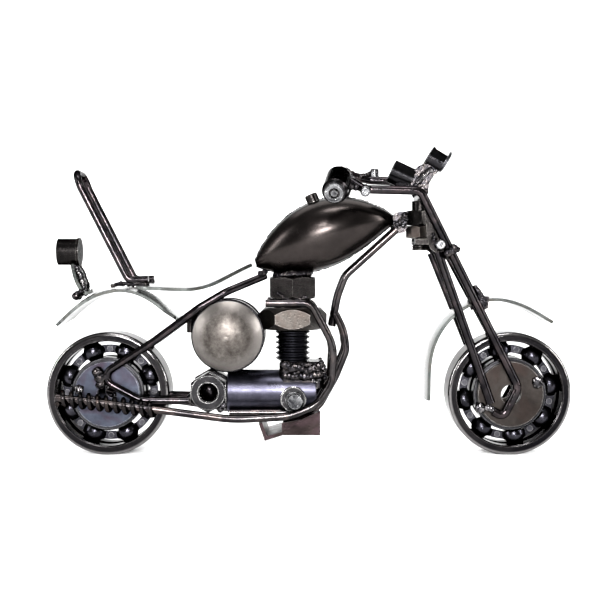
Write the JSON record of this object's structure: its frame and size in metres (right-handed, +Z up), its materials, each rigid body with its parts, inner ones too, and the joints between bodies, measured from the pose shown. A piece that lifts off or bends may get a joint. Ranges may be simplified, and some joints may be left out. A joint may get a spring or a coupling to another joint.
{
  "type": "scrap metal motorcycle figurine",
  "caption": "Welded scrap-hardware chopper figurine with ball-bearing wheels that roll, a fork that steers, coil-spring silencers and a pod tank.",
  "frame": {"origin": "middle of the footprint, on the surface the wheels stand on", "axes": "+X forward, +Y to the rider's left, +Z up"},
  "size_m": [0.1491, 0.0504, 0.088],
  "materials": {
    "black_nickel": "black nickel plating over welded mild-steel rod, glossy",
    "brushed_steel": "brushed, softly reflecting smoked steel",
    "bearing_steel": "ground bearing steel under smoked nickel, glossy",
    "ball_steel": "mirror-polished bearing balls, smoked",
    "cage_steel": "pressed sheet, smoked nickel",
    "sheet_nickel": "cut sheet strip, smoked nickel, polished",
    "fastener_nickel": "plated hexagon hardware",
    "burnt_sheet": "heat-browned sheet"
  },
  "bodies": {
    "frame": {"case_screws": "fastener_nickel", "case_washers": "fastener_nickel", "cover_drum": "black_nickel", "cradle_rods": "black_nickel", "crankcase": "black_nickel", "cylinder_base": "fastener_nickel", "cylinder_bolt": "fastener_nickel", "dome_covers": "brushed_steel", "down_tubes": "black_nickel", "exhaust_pipes": "black_nickel", "fender_screw": "fastener_nickel", "filler_cap": "fastener_nickel", "foot_plate": "burnt_sheet", "frame_rail_left": "black_nickel", "frame_rail_right": "black_nickel", "head_lug": "black_nickel", "head_nut": "fastener_nickel", "rear_fender": "sheet_nickel", "rear_hub_discs": "sheet_nickel", "rear_inner_ring": "bearing_steel", "rocker_nut": "fastener_nickel", "rocker_stud": "fastener_nickel", "seat": "sheet_nickel", "side_nuts": "fastener_nickel", "silencer_springs": "black_nickel", "sissy_bar": "black_nickel", "tail_bracket": "sheet_nickel", "tail_light": "black_nickel", "tank_left": "black_nickel", "tank_right": "black_nickel"},
    "steering": {"fork_front_right": "black_nickel", "fork_front_left": "black_nickel", "fork_rear_legs": "black_nickel", "crown_gussets": "black_nickel", "crown_pin": "fastener_nickel", "steering_bolt": "fastener_nickel", "lock_nut": "fastener_nickel", "lower_crown": "black_nickel", "upper_crown": "black_nickel", "grips": "black_nickel", "grip_end_nuts": "fastener_nickel", "lever_stubs": "black_nickel", "gauge": "black_nickel", "headlight_body": "black_nickel", "headlight_lens": "black_nickel", "lamp_bracket": "black_nickel", "front_fender": "sheet_nickel", "fender_webs": "black_nickel", "front_inner_ring": "bearing_steel", "front_hub_discs": "sheet_nickel"},
    "front_wheel": {"front_outer_ring": "bearing_steel"},
    "front_cage": {"front_balls": "ball_steel", "front_cage_right": "cage_steel", "front_cage_left": "cage_steel", "front_cage_rivets": "cage_steel"},
    "rear_wheel": {"rear_outer_ring": "bearing_steel"},
    "rear_cage": {"rear_balls": "ball_steel", "rear_cage_right": "cage_steel", "rear_cage_left": "cage_steel", "rear_cage_rivets": "cage_steel"}
  },
  "joints": [
    {"name": "steer", "type": "hinge", "parent": "frame", "child": "steering", "pos_m": [0.032, 0, 0.066], "axis": [0, 0, 1], "range_deg": [-20, 20]},
    {"name": "front_roll", "type": "hinge", "parent": "steering", "child": "front_wheel", "pos_m": [0.05705, 0, 0.0175], "axis": [0, 1, 0], "continuous": true},
    {"name": "front_cage_roll", "type": "hinge", "parent": "steering", "child": "front_cage", "pos_m": [0.05705, 0, 0.0175], "axis": [0, 1, 0], "continuous": true},
    {"name": "rear_roll", "type": "hinge", "parent": "frame", "child": "rear_wheel", "pos_m": [-0.05705, 0, 0.0175], "axis": [0, 1, 0], "continuous": true},
    {"name": "rear_cage_roll", "type": "hinge", "parent": "frame", "child": "rear_cage", "pos_m": [-0.05705, 0, 0.0175], "axis": [0, 1, 0], "continuous": true}
  ],
  "couplings": [
    {"joint": "front_cage_roll", "follows": "front_roll", "ratio": 0.6188},
    {"joint": "rear_cage_roll", "follows": "rear_roll", "ratio": 0.6188}
  ]
}
